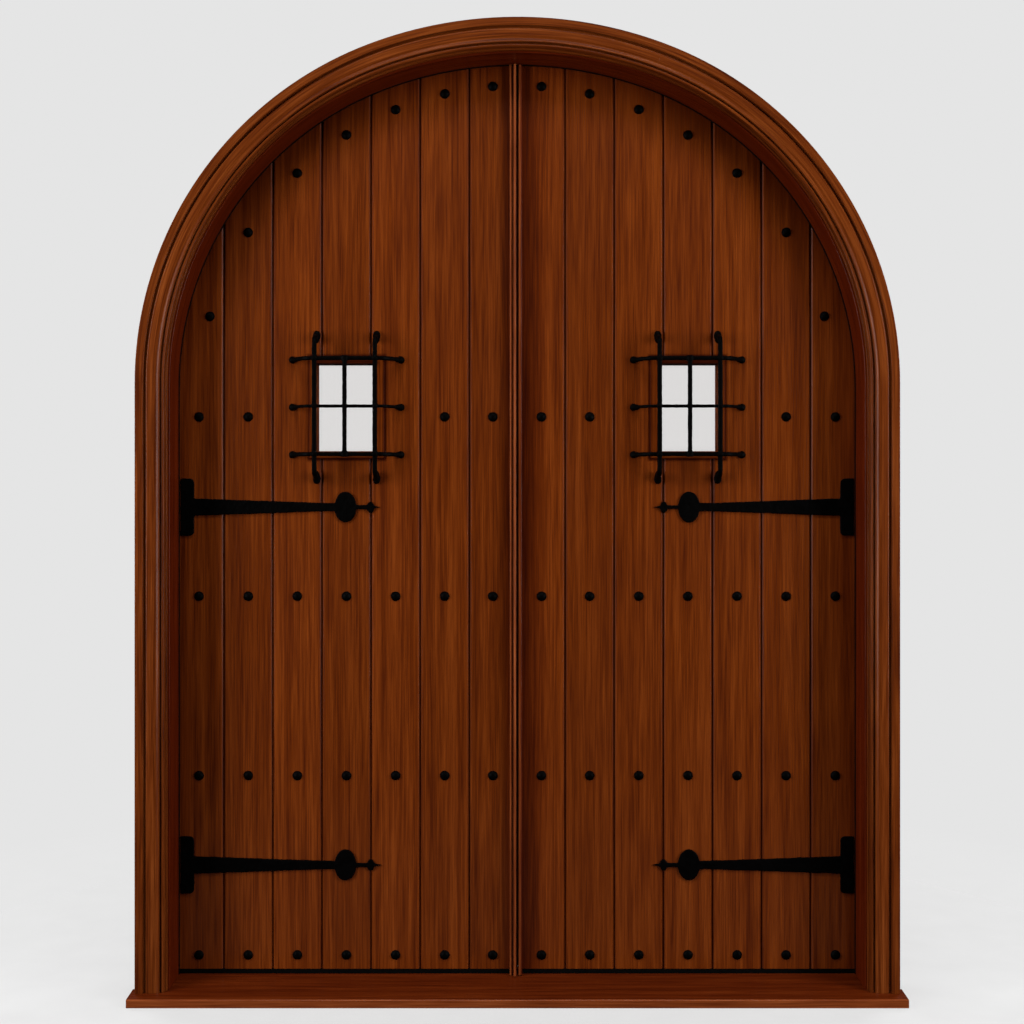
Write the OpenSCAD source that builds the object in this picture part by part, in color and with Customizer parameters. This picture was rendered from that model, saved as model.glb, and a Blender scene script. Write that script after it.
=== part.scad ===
// Pair of arched plank doors in a rebated timber frame. Both leaves swing indoors on butt hinges.
// X runs across the opening, Y runs from outdoors to indoors and Z runs up.
// The origin lies under the middle of the sill, in the plane of the jambs' outdoor edges.
// Pieces are modelled for the right-hand side (+X), and the left-hand ones are their mirror images.

/* [Opening] */
// Width between the rebates of the two jambs
opening_w = 1829; // [1500:1:2200]
// Height of the spring line above the underside of the sill
spring_h = 1592; // [1320:1:1920]
// Distance of each haunch arc's centre from the middle of the opening
haunch_inset = 53; // [40:1:70]
// Angle above the horizontal at which the haunch arc meets the crown arc
split_angle = 69.4; // [58:0.1:75]

/* [Jambs] */
// Thickness of a jamb at its stop
jamb_t = 45; // [36:1:60]
// Height of the stop above the rebate
stop_h = 15; // [13:0.5:18]
// Depth of the stop from its outdoor edge to the weatherstrip
stop_d = 98; // [78:1:130]
// Bevel along the outdoor edge of the stop
stop_ease = 1.5; // [0.5:0.1:3]

/* [Weatherstrip] */
// Depth of the kerf that holds the weatherstrip
kerf_d = 9; // [7:0.5:12]
// Width of the kerf
kerf_w = 3; // [2.5:0.1:4]
// Distance from the face of the stop to the kerf
kerf_inset = 5; // [4:0.5:7]
// Thickness of the weatherstrip's bulb
seal_t = 4.7; // [3.8:0.1:6]
// Distance that the bulb shows past the face of the stop
seal_show = 2.5; // [1:0.1:4]

/* [Casing] */
// Width of the casing
casing_w = 78; // [68:1:100]
// Thickness of the casing at its outer band
casing_t = 32; // [28:1:40]
// Strip of jamb edge left showing inside the casing
casing_reveal = 5; // [3:0.5:8]
// Width of the outer band
band_w = 21.5; // [17:0.5:26]
// Width of the quirk beside the outer band
quirk_w = 5; // [4:0.5:7]
// Depth of the quirk below the outer band
quirk_d = 10; // [7:0.5:12]
// Depth of the field below the outer band
field_drop = 4; // [3:0.5:5]
// Radius of the inner bead
bead_r = 4.6; // [3.8:0.1:5.6]
// Width of the fillet along the inner edge
fillet_w = 4.1; // [3:0.1:6]
// Thickness of the fillet
fillet_t = 10; // [8:0.5:12]

/* [Sill] */
// Height of the sill under the leaves
sill_h = 32; // [30:1:45]
// Height of the sill's nose
nose_h = 21; // [17:1:26]
// Distance that the nose stands in front of the jambs
nose_d = 69; // [57:1:90]
// Length of each horn past the casing
horn_l = 12; // [5:1:25]
// Bevel along the nose's upper edge
nose_ease = 2; // [1:0.5:4]
// Width and depth of the drip groove under the nose
drip_w = 7; // [5:0.5:10]

/* [Leaves] */
// Thickness of a leaf
leaf_t = 44.5; // [40:0.5:54]
// Thickness of the outdoor boards
board_t = 13; // [11:0.5:15]
// Width of the board at the meeting edge
first_board_w = 125.5; // [105:0.5:150]
// Gap between a leaf and its jamb
jamb_gap = 3; // [2.5:0.1:4]
// Gap between the two leaves
meeting_gap = 4; // [3.4:0.1:5]
// Gap between a leaf and the sill
foot_gap = 13; // [11:0.5:16]
// Width of the V between two boards
vee_w = 10; // [8:0.5:12]
// Depth of the V between two boards
vee_d = 5; // [4:0.5:6]
// Thickness of the sweep under a leaf
sweep_t = 12; // [10:0.5:16]

/* [Astragal] */
// Gap between the two halves of the astragal
seam_w = 5.6; // [5.4:0.1:7]
// Width of the left half, which carries the nosing
nosing_side_w = 16.8; // [15:0.1:20]
// Width of the nosing
nosing_w = 6.8; // [6:0.1:9]
// Distance that the nosing stands in front of the leaves
nosing_d = 26; // [22:0.5:27]
// Width of the right half, a plain bead
bead_side_w = 10; // [8:0.1:12]
// Distance that the beads stand in front of the leaves
bead_d = 18; // [15:0.5:20]

/* [Windows] */
// Distance of each window's centre from the middle of the opening
window_x = 453; // [380:1:540]
// Height of each window's centre above the foot of its leaf
window_up = 1493; // [1300:1:1600]
// Width of the glass in sight
sight_w = 160; // [134:1:192]
// Height of the glass in sight
sight_h = 233; // [195:1:280]
// Width of the trim around a window
trim_w = 20.5; // [17:0.5:24]
// Distance that the trim stands in front of the leaf
trim_d = 6; // [4:0.5:8]
// Thickness of the trim's sleeve inside the leaf
sleeve_t = 8; // [6:0.5:10]
// Thickness of the glass
glass_t = 6; // [4:0.5:8]

/* [Grilles] */
// Thickness of a square bar
bar_d = 10; // [8:0.5:12]
// Distance of the bars' centre lines in front of the leaf
bar_stand = 52; // [43:1:58]
// Distance of the outer level bars from the window's centre
level_up = 126; // [105:1:150]
// Distance of the upright bars from the window's centre
upright_out = 79.5; // [66:0.5:95]
// Distance of the level bars' feet from the window's centre
level_foot = 144; // [130:1:172]
// Distance of the upright bars' feet from the window's centre
upright_foot = 190; // [170:1:228]
// Width of the knob on each foot
foot_knob_d = 20; // [17:0.5:24]
// Width of the collars around the centre bar
collar_d = 17; // [14:0.5:20]

/* [Clavos] */
// Width of a clavo's head
clavo_d = 26.5; // [22:0.5:32]
// Height of a clavo's head
clavo_h = 8; // [6:0.5:11]
// Width of a clavo's shank
shank_d = 5; // [4:0.5:6]
// Height of the lowest row above the foot of the leaf
first_row_up = 37; // [30:1:60]
// Distance of the highest level row below the spring line
last_row_drop = 79; // [60:1:120]
// Inset of the clavo arc from the hinge edge
arc_inset = 60.5; // [50:0.5:75]
// Distance of the clavo arc below the top of the leaf
arc_drop = 66; // [55:1:80]
// Angle of the arc's lowest clavo above the arc's centre
arc_low = 16.2; // [10:0.1:18]

/* [Straps] */
// Height of the lower strap above the foot of the leaf
low_strap_up = 277; // [230:1:330]
// Height of the upper strap above the foot of the leaf
high_strap_up = 1228; // [1020:1:1270]
// Thickness of a strap
strap_t = 6; // [5:0.5:8]
// Inset of the strap's plate from the hinge edge of the leaf
plate_inset = 17; // [15:0.5:22]
// Width of the plate
plate_w = 36; // [30:0.5:43]
// Height of the plate
plate_h = 152; // [126:1:182]
// Height of the strap beside the plate
strap_h = 47; // [40:0.5:56]
// Height of the strap beside the disc
neck_h = 22; // [18:0.5:26]
// Distance from the hinge edge to the centre of the disc
disc_in = 455; // [380:1:546]
// Width and height of the oval disc
disc_size = [58, 82]; // [50:1:90]
// Height of the stem past the disc
stem_h = 11; // [9:0.5:13]
// Distance from the centre of the disc to the centre of the knob
knob_out = 67; // [58:1:80]
// Width and height of the knob
knob_size = [20, 30]; // [17:1:34]
// Distance from the centre of the knob to the tip
tip_out = 29; // [24:1:35]

/* [Hinges] */
// Height of a butt hinge
butt_h = 114; // [100:1:127]
// Depth of a hinge plate in the wood
plate_reach = 28; // [24:0.5:30]
// Thickness of a hinge plate
butt_t = 3; // [2.5:0.1:3.5]
// Radius of a knuckle
knuckle_r = 7.5; // [6.5:0.1:8.5]
// Radius of a hinge pin
pin_r = 4; // [3.5:0.1:4.5]
// Radial clearance between the pin and the knuckles
pin_clear = 0.05; // [0.03:0.01:0.1]
// Heights of the three hinges above the foot of the leaf
butt_ups = [155, 795, 1420]; // [100:1:1500]
// Radius of a screw's shank
screw_r = 2; // [1.8:0.1:2.5]
// Radius of a screw's head
screw_head_r = 4.2; // [3.8:0.1:4.8]
// Length of a screw
screw_l = 24; // [20:1:28]

/* [Hidden] */
$fn = 96;
ARC_FN = 240;

BOARDS = 7;
WOOD = "#8f5222";
WOOD_DARK = "#6d3a17";
IRON = "#1b1b1d";
STEEL = "#8b8b86";
RUBBER = "#131313";
GLASS = "#cfd6d4";

// Half widths of the frame, measured on the straight legs
rebate_x = opening_w / 2;
stop_x = rebate_x - stop_h;
jamb_x = stop_x + jamb_t;
casing_in = stop_x + casing_reveal;
casing_x = casing_in + casing_w;
leaf_x = rebate_x - jamb_gap;
meeting_x = meeting_gap / 2;
seam_x = seam_w / 2;

// Depths, from outdoors to indoors
seal_gap = 0.3;
leaf_y = stop_d + seal_t + seal_gap;
core_y = leaf_y + board_t;
indoor_y = leaf_y + leaf_t;
glass_y = leaf_y + (leaf_t - glass_t) / 2;

// Heights
foot_z = sill_h + foot_gap;
window_z = foot_z + window_up;
crown_z = spring_h - haunch_inset * tan(split_angle);
crown_more = haunch_inset / cos(split_angle) - haunch_inset;
leaf_top = crown_z + leaf_x + crown_more;
above_all = crown_z + casing_x + crown_more + 100;
cut = 1;

board_w = (leaf_x - meeting_x - first_board_w) / (BOARDS - 1);
function board_x(i) = i == 0 ? meeting_x : meeting_x + first_board_w + (i - 1) * board_w;

hole_w = sight_w + 2 * sleeve_t;
hole_h = sight_h + 2 * sleeve_t;
hole_clear = 0.3;

pin_x = rebate_x - jamb_gap / 2;
knuckle_gap = 0.7;
pin_y = indoor_y + knuckle_gap + knuckle_r;
KNUCKLES = 5;
knuckle_split = 0.4;

function at(r, angle) = r * [cos(angle), sin(angle)];
function arc(centre, r, from, to, steps = 6) =
    [for (i = [0:steps]) centre + at(r, from + (to - from) * i / steps)];

// Sections of the frame, as half width and depth on the straight legs

kerf_x = stop_x + kerf_inset;
kerf_end = kerf_x + kerf_w;
kerf_y = stop_d - kerf_d;
jamb_section = [
    [stop_x, stop_ease], [stop_x + stop_ease, 0], [jamb_x, 0], [jamb_x, indoor_y],
    [rebate_x, indoor_y], [rebate_x, stop_d], [kerf_end, stop_d], [kerf_end, kerf_y],
    [kerf_x, kerf_y], [kerf_x, stop_d], [stop_x, stop_d]
];

seal_play = 0.1;
seal_ease = 1.5;
seal_past_kerf = 2;
seal_x = stop_x - seal_show;
seal_end = kerf_end + seal_past_kerf;
seal_y = stop_d + seal_t;
seal_section = [
    [kerf_x + seal_play, stop_d], [kerf_x + seal_play, kerf_y + seal_play],
    [kerf_end - seal_play, kerf_y + seal_play], [kerf_end - seal_play, stop_d],
    [seal_end, stop_d], [seal_end, seal_y - seal_ease], [seal_end - seal_ease, seal_y],
    [seal_x + seal_ease, seal_y], [seal_x, seal_y - seal_ease],
    [seal_x, stop_d + seal_ease], [seal_x + seal_ease, stop_d]
];

ease_r = 2;
field_r = 4.5;
scoop_d = 2;
scoop_start = 0.55;
bead_quirk_w = 2.2;
bead_drop = 11;
fillet_ease = 1;
field_in = band_w + quirk_w;
bead_in = casing_w - fillet_w - 2 * bead_r;
field_out = bead_in - bead_quirk_w;
scoop_from = field_in + scoop_start * (field_out - field_in);
field_t = casing_t - field_drop;
bead_foot_t = casing_t - bead_drop - bead_r;
// Drawn as distance in from the outer edge and thickness in front of the jambs
casing_shape = concat(
    [[0, 0]],
    arc([ease_r, casing_t - ease_r], ease_r, 180, 90, 4),
    arc([band_w - ease_r, casing_t - ease_r], ease_r, 90, 0, 4),
    [[band_w, casing_t - quirk_d], [field_in, casing_t - quirk_d]],
    arc([field_in + field_r, field_t - field_r], field_r, 180, 90, 6),
    [for (i = [0:8]) [
        scoop_from + (field_out - ease_r - scoop_from) * i / 8,
        field_t - scoop_d * (1 - cos(360 * i / 8)) / 2
    ]],
    arc([field_out - ease_r, field_t - ease_r], ease_r, 75, 0, 4),
    [[field_out, bead_foot_t], [bead_in, bead_foot_t]],
    arc([bead_in + bead_r, casing_t - bead_drop - bead_r / 2], bead_r, 180, 0, 10),
    [
        [bead_in + 2 * bead_r, fillet_t], [casing_w - fillet_ease, fillet_t],
        [casing_w, fillet_t - fillet_ease], [casing_w, 0]
    ]
);
casing_section = [for (p = casing_shape) [casing_x - p.x, -p.y]];

// Sweeps of a section along the leg, the haunch arc and the crown arc

module leg(section, from, to) {
    translate([0, 0, from]) linear_extrude(to - from) polygon(section);
}

module haunch(section) {
    translate([haunch_inset, 0, spring_h]) rotate([90, 0, 0])
        rotate_extrude(angle = split_angle, $fn = ARC_FN)
            polygon([for (p = section) [p.x - haunch_inset, -p.y]]);
}

// The crown can run on past the haunch arcs at both ends
module crown(section, more_angle = 0) {
    translate([0, 0, crown_z]) rotate([90, 0, 0]) rotate([0, 0, split_angle - more_angle])
        rotate_extrude(angle = 180 - 2 * (split_angle - more_angle), $fn = ARC_FN)
            polygon([for (p = section) [p.x + crown_more, -p.y]]);
}

module side(s) {
    if (s < 0) mirror([1, 0, 0]) children();
    else children();
}

// Frame

drip_in = 8;
drip_y = drip_in - nose_d;
sill_section = [
    [-nose_d, 0], [drip_y, 0], [drip_y, drip_w], [drip_y + drip_w, drip_w],
    [drip_y + drip_w, 0], [indoor_y, 0], [indoor_y, sill_h], [leaf_y, sill_h],
    [-nose_d + nose_ease, nose_h], [-nose_d, nose_h - nose_ease]
];

module sill_bar(half_w) {
    translate([-half_w, 0, 0]) rotate([90, 0, 90]) linear_extrude(2 * half_w) polygon(sill_section);
}

module sill() {
    color(WOOD) union() {
        sill_bar(jamb_x);
        intersection() {
            sill_bar(casing_x + horn_l);
            translate([-above_all, -nose_d - cut, -cut]) cube([2 * above_all, nose_d + cut, above_all]);
        }
    }
}

// Four screws in each hinge plate, staggered in depth
near_row = 0.3 * plate_reach;
far_row = 0.65 * plate_reach;
screw_step = butt_h / 4.4;
screw_head_h = 2;
seat_gap = 0.1;
seat_h = 2.2;

module screw_places() {
    for (z = butt_ups, k = [0:3])
        translate([0, indoor_y - (k % 2 == 0 ? near_row : far_row), foot_z + z + screw_step * (k - 1.5)])
            children();
}

module screw_bores(r, l) {
    screw_places() rotate([0, 90, 0]) translate([0, 0, -cut]) cylinder(h = l + cut, r = r);
}

module jamb(s) {
    color(WOOD_DARK) side(s) difference() {
        leg(jamb_section, nose_h / 2, spring_h);
        sill_bar(above_all);
        for (z = butt_ups)
            translate([rebate_x - cut, indoor_y - plate_reach, foot_z + z - butt_h / 2])
                cube([butt_t + cut, plate_reach + cut, butt_h]);
        translate([rebate_x, 0, 0]) screw_bores(screw_r + pin_clear, screw_l + 1);
    }
}

module head_jamb(s) {
    color(WOOD_DARK) side(s) haunch(jamb_section);
}

module head_jamb_crown() {
    color(WOOD_DARK) crown(jamb_section);
}

module casing(s) {
    color(WOOD) side(s) difference() {
        leg(casing_section, nose_h / 2, spring_h);
        sill_bar(above_all);
    }
}

module casing_head(s) {
    color(WOOD) side(s) haunch(casing_section);
}

module casing_head_crown() {
    color(WOOD) crown(casing_section);
}

module weatherstrip(s) {
    color(RUBBER) side(s) {
        leg(seal_section, sill_h, spring_h);
        haunch(seal_section);
    }
}

module weatherstrip_crown() {
    color(RUBBER) crown(seal_section);
}

// Butt hinges, with three knuckles on the frame and two on the leaf

module knuckles(first) {
    pitch = butt_h / KNUCKLES;
    for (k = [first:2:KNUCKLES - 1]) translate([0, 0, k * pitch - butt_h / 2 + knuckle_split / 2]) children();
}

module butt(x, first) {
    pitch = butt_h / KNUCKLES;
    difference() {
        union() {
            translate([x, indoor_y - plate_reach, -butt_h / 2]) cube([butt_t, plate_reach, butt_h]);
            knuckles(first) translate([x, indoor_y - cut, 0])
                cube([butt_t, pin_y - indoor_y + cut, pitch - knuckle_split]);
            knuckles(first) translate([pin_x, pin_y, 0]) cylinder(h = pitch - knuckle_split, r = knuckle_r);
        }
        translate([pin_x, pin_y, -butt_h]) cylinder(h = 2 * butt_h, r = pin_r + pin_clear);
    }
}

module screw_seats(dir) {
    screw_places() rotate([0, 90 * dir, 0]) {
        translate([0, 0, -cut]) cylinder(h = screw_l, r = screw_r + pin_clear);
        translate([0, 0, -0.01]) cylinder(h = seat_h, r1 = screw_head_r + seat_gap, r2 = screw_r);
    }
}

module frame_hinges(s) {
    color(STEEL) side(s) difference() {
        for (z = butt_ups) translate([0, 0, foot_z + z]) butt(rebate_x, 0);
        translate([rebate_x, 0, 0]) screw_seats(1);
    }
}

module leaf_hinges(s) {
    color(STEEL) side(s) difference() {
        for (z = butt_ups) translate([0, 0, foot_z + z]) butt(leaf_x - butt_t, 1);
        translate([leaf_x, 0, 0]) screw_seats(-1);
    }
}

pin_head_r = 6;
pin_head_h = 3;

module hinge_pins(s) {
    color(STEEL) side(s) for (z = butt_ups) translate([pin_x, pin_y, foot_z + z - butt_h / 2]) {
        cylinder(h = butt_h, r = pin_r);
        translate([0, 0, butt_h - knuckle_split / 2]) cylinder(h = pin_head_h, r = pin_head_r);
    }
}

module screws(s, x, dir) {
    color(STEEL) side(s) translate([x, 0, 0]) screw_places() rotate([0, 90 * dir, 0]) {
        cylinder(h = screw_l, r = screw_r);
        cylinder(h = screw_head_h, r1 = screw_head_r, r2 = screw_r);
    }
}

// Leaves

RING_OVERLAP = 5;

// What lies outside the leaf's arch, between two depths
module outside_arch(from_y, to_y) {
    far_x = leaf_x + casing_x;
    ring = [[leaf_x, from_y], [far_x, from_y], [far_x, to_y], [leaf_x, to_y]];
    haunch(ring);
    crown(ring, RING_OVERLAP);
    translate([leaf_x, from_y, 0]) cube([far_x, to_y - from_y, spring_h]);
}

module window_hole() {
    translate([window_x - hole_w / 2, leaf_y - cut, window_z - hole_h / 2])
        cube([hole_w, leaf_t + 2 * cut, hole_h]);
}

LEVEL_ROWS = 4;
row_step = (spring_h - last_row_drop - foot_z - first_row_up) / (LEVEL_ROWS - 1);
clavo_arc_r = leaf_x - arc_inset;
clavo_arc_z = leaf_top - arc_drop - clavo_arc_r;
grille_side = level_foot + foot_knob_d;
function board_middle(i) = (board_x(i) + board_x(i + 1)) / 2;
function beside_grille(x) = abs(x - window_x) > grille_side;
clavo_places = concat(
    [for (row = [0:LEVEL_ROWS - 1], i = [0:BOARDS - 1])
        if (row < LEVEL_ROWS - 1 || beside_grille(board_middle(i)))
            [board_middle(i), foot_z + first_row_up + row * row_step]],
    [for (i = [0:BOARDS - 2]) [
        board_middle(i),
        clavo_arc_z + sqrt(clavo_arc_r * clavo_arc_r - board_middle(i) * board_middle(i))
    ]],
    [[clavo_arc_r * cos(arc_low), clavo_arc_z + clavo_arc_r * sin(arc_low)]]
);

module at_clavos() {
    for (p = clavo_places) translate([p.x, leaf_y, p.y]) rotate([90, 0, 0]) children();
}

module board(s, i, from_z, to_z) {
    x0 = board_x(i);
    hinge_edge = i == BOARDS - 1;
    x1 = board_x(i + 1) + (hinge_edge ? cut : 0);
    v0 = i == 0 ? 0 : vee_w / 2;
    v1 = hinge_edge ? 0 : vee_w / 2;
    section = [
        [x0, core_y], [x0, leaf_y + (v0 > 0 ? vee_d : 0)], [x0 + v0, leaf_y],
        [x1 - v1, leaf_y], [x1, leaf_y + (v1 > 0 ? vee_d : 0)], [x1, core_y]
    ];
    color(WOOD) side(s) difference() {
        translate([0, 0, from_z]) linear_extrude(to_z - from_z) polygon(section);
        outside_arch(leaf_y - cut, core_y + cut);
        window_hole();
        at_clavos() translate([0, 0, -board_t - cut])
            cylinder(h = board_t + 2 * cut, r = shank_d / 2 + pin_clear);
    }
}

module core(s) {
    color(WOOD) side(s) difference() {
        translate([meeting_x, core_y, foot_z])
            cube([leaf_x + cut - meeting_x, leaf_t - board_t, above_all - foot_z]);
        outside_arch(core_y - cut, indoor_y + cut);
        window_hole();
        for (i = [1:BOARDS - 1]) translate([board_x(i), indoor_y, 0]) linear_extrude(above_all)
            polygon([[-vee_w / 2, cut], [-vee_w / 2, 0], [0, -vee_d], [vee_w / 2, 0], [vee_w / 2, cut]]);
        for (z = butt_ups)
            translate([leaf_x - butt_t, indoor_y - plate_reach, foot_z + z - butt_h / 2])
                cube([butt_t + cut, plate_reach + cut, butt_h]);
        translate([leaf_x, 0, 0]) mirror([1, 0, 0]) screw_bores(screw_r + pin_clear, screw_l + 1);
    }
}

astragal_play = 1.5;
astragal_foot = sill_h + astragal_play;
astragal_top = crown_z + seal_x + crown_more - astragal_play;
astragal_quirk_w = 4.2;
astragal_quirk_d = 8;
astragal_ease = 1.5;

// A square moulding with eased front edges, from x0 to x1 and standing d in front of the leaf
function eased(x0, x1, d) = [
    [x0, leaf_y], [x0, leaf_y - d + astragal_ease], [x0 + astragal_ease, leaf_y - d],
    [x1 - astragal_ease, leaf_y - d], [x1, leaf_y - d + astragal_ease], [x1, leaf_y]
];

module astragal(s) {
    bead_w = nosing_side_w - nosing_w - astragal_quirk_w;
    nosing_out = seam_x + nosing_w;
    bead_out = seam_x + nosing_side_w;
    color(WOOD) side(s) translate([0, 0, astragal_foot]) linear_extrude(astragal_top - astragal_foot)
        if (s > 0) polygon(eased(seam_x, seam_x + bead_side_w, bead_d));
        else {
            polygon(eased(seam_x, nosing_out, nosing_d));
            polygon(eased(bead_out - bead_w, bead_out, bead_d));
            translate([seam_x + cut, leaf_y - bead_d + astragal_quirk_d])
                square([nosing_side_w - 2 * cut, bead_d - astragal_quirk_d]);
        }
}

// A dome whose flat side lies on the leaf
module dome(d, h) {
    r = (d * d / 4 + h * h) / (2 * h);
    rotate_extrude() intersection() {
        translate([0, h - r]) circle(r);
        square([d, h]);
    }
}

module clavos(s) {
    color(IRON) side(s) at_clavos() {
        dome(clavo_d, clavo_h);
        translate([0, 0, -board_t + 1]) cylinder(h = board_t, r = shank_d / 2);
    }
}

function oval(centre, size) =
    [for (a = [0:7.5:352.5]) centre + [size.x / 2 * cos(a), size.y / 2 * sin(a)]];

// Drawn with x running from the leaf's hinge edge towards the meeting edge
module strap_outline() {
    plate_end = plate_inset + plate_w;
    corner = plate_w / 3;
    knob_in = disc_in + knob_out;
    translate([plate_inset, -plate_h / 2]) square([plate_w - corner, plate_h]);
    translate([plate_inset + corner, corner - plate_h / 2]) square([plate_w - corner, plate_h - 2 * corner]);
    for (z = [-1, 1]) translate([plate_end - corner, z * (plate_h / 2 - corner)]) circle(corner);
    polygon([
        [plate_end - corner, -strap_h / 2], [disc_in - disc_size.x, -neck_h / 2], [disc_in, -neck_h / 2],
        [disc_in, neck_h / 2], [disc_in - disc_size.x, neck_h / 2], [plate_end - corner, strap_h / 2]
    ]);
    polygon(oval([disc_in, 0], disc_size));
    translate([disc_in, -stem_h / 2]) square([knob_out, stem_h]);
    polygon(oval([knob_in, 0], knob_size));
    polygon([[knob_in, -stem_h / 2], [knob_in + tip_out, 0], [knob_in, stem_h / 2]]);
}

module strap(s, up) {
    color(IRON) side(s) translate([leaf_x, leaf_y, foot_z + up]) rotate([90, 0, 0])
        linear_extrude(strap_t) mirror([1, 0]) strap_outline();
}

// Window trim: a bevelled ring on the face of the leaf, with a sleeve that reaches the glass

trim_bevel = 2.5;
sleeve_w = hole_w - 2 * hole_clear;
sleeve_h = hole_h - 2 * hole_clear;

function bevelled(w) = [
    [-w / 2, 0], [-w / 2, trim_bevel - trim_d], [trim_bevel - w / 2, -trim_d],
    [w / 2 - trim_bevel, -trim_d], [w / 2, trim_bevel - trim_d], [w / 2, 0]
];

module bevelled_block(w, h) {
    intersection() {
        translate([0, 0, -h / 2]) linear_extrude(h) polygon(bevelled(w));
        translate([-w / 2, 0, 0]) rotate([90, 0, 90]) linear_extrude(w)
            polygon([for (p = bevelled(h)) [p.y, p.x]]);
    }
}

module trim(reach) {
    difference() {
        union() {
            bevelled_block(sight_w + 2 * trim_w, sight_h + 2 * trim_w);
            translate([-sleeve_w / 2, -cut, -sleeve_h / 2]) cube([sleeve_w, reach + cut, sleeve_h]);
        }
        translate([-sight_w / 2, -trim_d - cut, -sight_h / 2])
            cube([sight_w, reach + trim_d + 2 * cut, sight_h]);
    }
}

module trim_outdoor(s) {
    color(WOOD) side(s) translate([window_x, leaf_y, window_z]) trim(glass_y - leaf_y);
}

module trim_indoor(s) {
    color(WOOD) side(s) translate([window_x, indoor_y, window_z]) mirror([0, 1, 0])
        trim(indoor_y - glass_y - glass_t);
}

module glass(s) {
    color(GLASS, 0.5) side(s) translate([window_x - sleeve_w / 2, glass_y, window_z - sleeve_h / 2])
        cube([sleeve_w, glass_t, sleeve_h]);
}

sweep_play = 1;
sweep_inset = 1;

module sweep(s) {
    color(RUBBER) side(s) translate([seam_x, leaf_y + sweep_inset, sill_h + sweep_play])
        cube([leaf_x - seam_x, sweep_t, foot_gap - sweep_play]);
}

// Grille: square bars that stand clear of the window and turn back to knobs on the leaf

level_run = 42;
upright_run = 16;
upright_over = 3;
knob_h = 11;
thin_bar_d = bar_d - 2;
collar_h = 1.4 * bar_d;

// A bar bent in the XY plane, with its feet on the leaf at either end
module bent_bar(foot, run, stand, d) {
    bend = foot - run;
    half = d / 2;
    translate([0, 0, -half]) linear_extrude(d) polygon([
        [-foot - half, 0], [-bend - half, -stand - half], [bend + half, -stand - half], [foot + half, 0],
        [foot - half, 0], [bend - half, half - stand], [half - bend, half - stand], [half - foot, 0]
    ]);
    for (x = [-foot, foot]) translate([x, 0, 0]) rotate([90, 0, 0]) dome(foot_knob_d, knob_h);
}

module grille(s) {
    color(IRON) side(s) translate([window_x, leaf_y, window_z]) {
        for (z = [-level_up, level_up])
            translate([0, 0, z]) bent_bar(level_foot, level_run, bar_stand, bar_d);
        bent_bar(level_foot, level_run, bar_stand, thin_bar_d);
        for (x = [-upright_out, upright_out]) translate([x, 0, 0]) rotate([0, -90, 0])
            bent_bar(upright_foot, upright_run, bar_stand + upright_over, bar_d);
        translate([-bar_d / 2, -bar_stand - upright_over - bar_d / 2, -level_up])
            cube([bar_d, bar_d, 2 * level_up]);
        for (z = [-level_up, level_up])
            translate([0, -bar_stand, z - collar_h / 2]) cylinder(h = collar_h, d = collar_d);
    }
}

sill();
jamb(-1);  // jamb_left
jamb(1);  // jamb_right
head_jamb(-1);  // head_jamb_left
head_jamb_crown();
head_jamb(1);  // head_jamb_right
casing(-1);  // casing_left
casing(1);  // casing_right
casing_head(-1);  // casing_head_left
casing_head_crown();
casing_head(1);  // casing_head_right
weatherstrip(-1);  // weatherstrip_left
weatherstrip_crown();
weatherstrip(1);  // weatherstrip_right
for (s = [-1, 1]) {
    hand = s < 0 ? "left_" : "right_";
    frame_hinges(s);
    hinge_pins(s);
    screws(s, rebate_x, 1);
    for (i = [0, 1, 2, 4, 5, 6])
        board(s, i, foot_z, above_all);
    board(s, 3, foot_z, window_z);
    board(s, 3, window_z, above_all);
    core(s);
    astragal(s);
    clavos(s);
    strap(s, low_strap_up);
    strap(s, high_strap_up);
    grille(s);
    trim_outdoor(s);
    trim_indoor(s);
    glass(s);
    sweep(s);
    leaf_hinges(s);
    screws(s, leaf_x, -1);
}
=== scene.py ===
"""Pair of arched plank doors in their frame: camera, studio, varnished wood and forged iron."""
import math
import random

import bmesh
import bpy
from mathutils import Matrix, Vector, noise


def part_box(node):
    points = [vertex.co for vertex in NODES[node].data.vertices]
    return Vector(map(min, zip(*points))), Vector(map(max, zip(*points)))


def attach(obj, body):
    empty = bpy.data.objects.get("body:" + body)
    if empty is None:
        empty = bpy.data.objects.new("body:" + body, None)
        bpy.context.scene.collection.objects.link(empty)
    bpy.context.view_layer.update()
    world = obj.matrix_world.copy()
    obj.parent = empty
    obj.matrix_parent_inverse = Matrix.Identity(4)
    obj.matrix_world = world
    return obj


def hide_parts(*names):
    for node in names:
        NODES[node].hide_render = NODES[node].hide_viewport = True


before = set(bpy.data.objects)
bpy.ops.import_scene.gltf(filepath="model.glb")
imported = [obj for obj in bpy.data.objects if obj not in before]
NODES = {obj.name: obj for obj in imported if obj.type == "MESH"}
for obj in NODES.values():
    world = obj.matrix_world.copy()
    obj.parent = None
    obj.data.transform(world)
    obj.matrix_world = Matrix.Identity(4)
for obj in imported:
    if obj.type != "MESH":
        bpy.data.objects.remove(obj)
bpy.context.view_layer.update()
SCENE = bpy.context.scene
SIDES = {"left": -1, "right": 1}

# ---------------------------------------------------------------- places, in metres

SPRING_Z = 1.592
HAUNCH_X = 0.053
SPLIT = math.radians(69.4)
CROWN_Z = SPRING_Z - HAUNCH_X * math.tan(SPLIT)
CROWN_MORE = HAUNCH_X / math.cos(SPLIT) - HAUNCH_X
BEND_R = 0.93

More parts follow.
